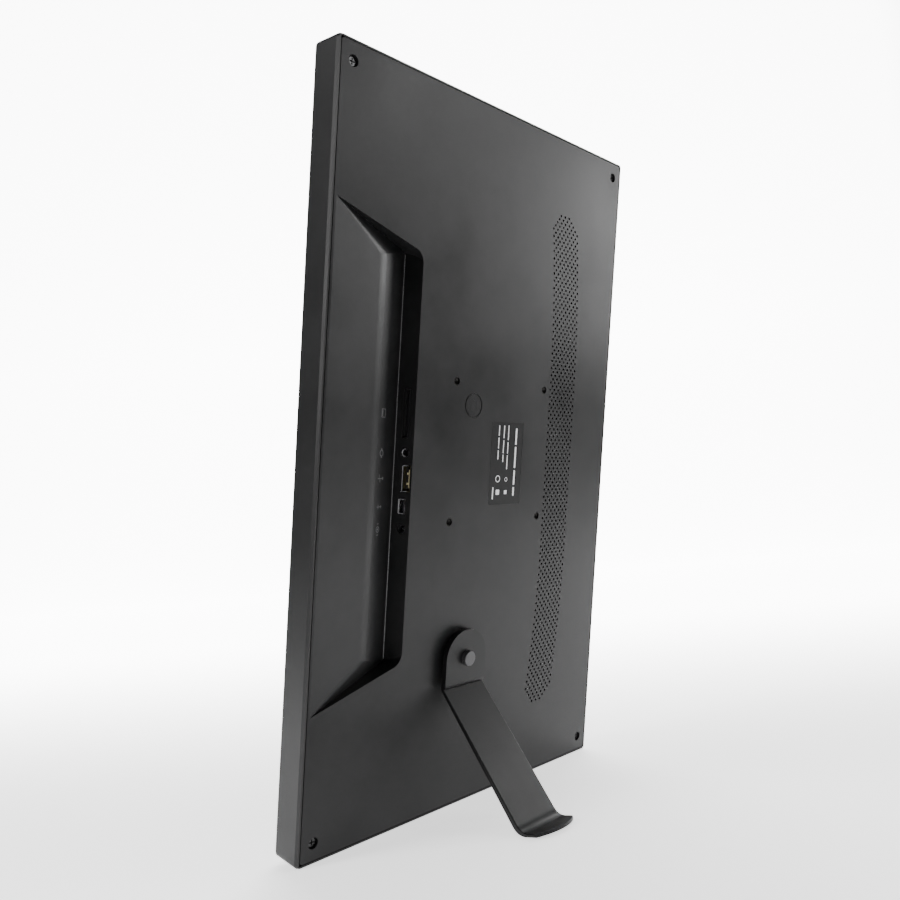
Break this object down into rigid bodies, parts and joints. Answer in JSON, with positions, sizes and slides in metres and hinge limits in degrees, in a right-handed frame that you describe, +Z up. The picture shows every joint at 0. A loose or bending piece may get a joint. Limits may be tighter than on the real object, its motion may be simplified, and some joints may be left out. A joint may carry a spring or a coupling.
{
  "type": "digital photo frame",
  "caption": "Slim portrait-format digital picture frame with a flat ventilated back, a recessed bay of side-facing sockets and a bent strip stand pivoted on one screw",
  "frame": {"origin": "Centre of the overall bounding box in plan, on the floor the frame stands on.", "axes": "+X to the right for someone looking at the screen, +Y backwards away from the screen, +Z up."},
  "size_m": [0.2302, 0.0944, 0.3782],
  "materials": {
    "housing_black": "satin charcoal ABS, fine moulded grain",
    "cover_black": "satin charcoal ABS, fine moulded grain",
    "stand_black": "satin black, smooth",
    "screw_black": "black zinc, semi-matt",
    "steel": "bright stamped steel",
    "contact_metal": "yellowish plated spring metal",
    "black_insert": "blackened turned steel",
    "screen_glass": "dark anti-glare glass",
    "board_green": "solder-masked laminate",
    "chip_black": "epoxy package",
    "heatsink_alu": "plain extruded aluminium",
    "capacitor_alu": "bright can",
    "socket_black": "moulded nylon",
    "speaker_black": "moulded",
    "cone_paper": "pressed fibre cone",
    "magnet_steel": "plated",
    "gasket_foam": "soft closed-cell foam",
    "cable_grey": "flat ribbon",
    "lead_black": "insulated lead",
    "window_dark": "dark red infrared window",
    "label_black": "printed film, satin"
  },
  "bodies": {
    "panel": {"front_housing": "housing_black", "rear_cover": "cover_black", "cover_screws": "screw_black", "vesa_inserts": "black_insert", "stand_insert": "black_insert", "stand_spacer": "stand_black", "lcd_gasket": "gasket_foam", "lcd_glass": "screen_glass", "lcd_backlight": "steel", "lcd_board": "board_green", "lcd_brackets": "steel", "bracket_screws": "steel", "main_board": "board_green", "board_screws": "steel", "main_chip": "chip_black", "chip_heat_sink": "heatsink_alu", "memory_chips": "chip_black", "power_inductors": "chip_black", "board_connectors": "socket_black", "board_capacitors": "capacitor_alu", "card_socket": "steel", "headphone_jack": "socket_black", "usb_shell": "contact_metal", "usb_tongue": "socket_black", "mini_usb_shell": "steel", "mini_usb_tongue": "socket_black", "power_jack": "socket_black", "power_pin": "steel", "speaker_frames": "speaker_black", "speaker_cones": "cone_paper", "speaker_magnets": "magnet_steel", "speaker_leads": "lead_black", "display_cable": "cable_grey", "eye_board": "board_green", "eye_receiver": "chip_black", "eye_window": "window_dark", "eye_lead": "lead_black", "rating_label": "label_black"},
    "stand": {"stand_arm": "stand_black"},
    "screw": {"stand_screw": "screw_black"}
  },
  "joints": [
    {"name": "stand_turn", "type": "hinge", "parent": "panel", "child": "stand", "pos_m": [0.0124, -0.01366, 0.08221], "axis": [0, 0.9814, -0.1917], "continuous": true},
    {"name": "stand_screw_turn", "type": "hinge", "parent": "panel", "child": "screw", "pos_m": [0.0124, -0.01366, 0.08221], "axis": [0, 0.9814, -0.1917], "continuous": true}
  ]
}
